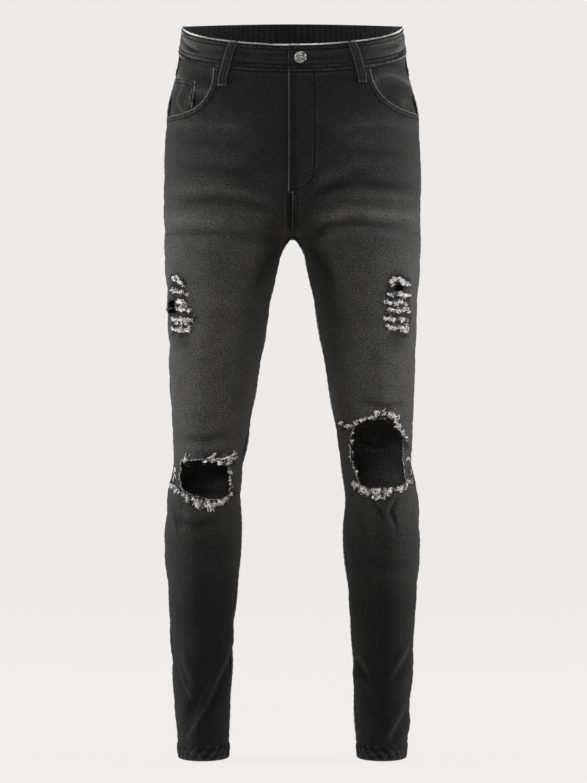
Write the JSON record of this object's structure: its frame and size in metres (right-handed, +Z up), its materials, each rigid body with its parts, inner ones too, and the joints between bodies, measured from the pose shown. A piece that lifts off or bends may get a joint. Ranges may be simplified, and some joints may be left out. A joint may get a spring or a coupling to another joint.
{
  "type": "ripped jeans, worn form",
  "caption": "Washed black skinny jeans in worn, filled-out form, open at the waist and hems, with torn knees, frayed thigh rips, pockets, belt loops and a metal button.",
  "frame": {"origin": "middle of the waist opening, level with the waistband's top edge at the side seams, where the wearer's waist holds the garment up", "axes": "+Z up along the wearer's body, -Y towards the front of the garment, +X towards the wearer's left"},
  "size_m": [0.3572, 0.2416, 1.0319],
  "materials": {
    "denim": "washed black twill, matt",
    "denim_worn": "washed black twill with faded thighs and knees, matt",
    "fray": "pale frayed cotton weft threads, matt",
    "thread": "dark sewing thread, slight sheen",
    "button_metal": "aged satin metal"
  },
  "bodies": {
    "root": {"front_left": "denim_worn", "front_right": "denim_worn", "back_left": "denim_worn", "back_right": "denim_worn", "yoke_left": "denim", "yoke_right": "denim", "waistband": "denim", "button": "button_metal", "fly": "denim", "pocket_facing_left": "denim", "pocket_facing_right": "denim", "coin_pocket": "denim", "back_pocket_left": "denim_worn", "back_pocket_right": "denim_worn", "belt_loop_front_left": "denim", "belt_loop_front_right": "denim", "belt_loop_back_left": "denim", "belt_loop_back_right": "denim", "belt_loop_back_middle": "denim", "hem_left": "denim", "hem_right": "denim"}
  },
  "joints": []
}
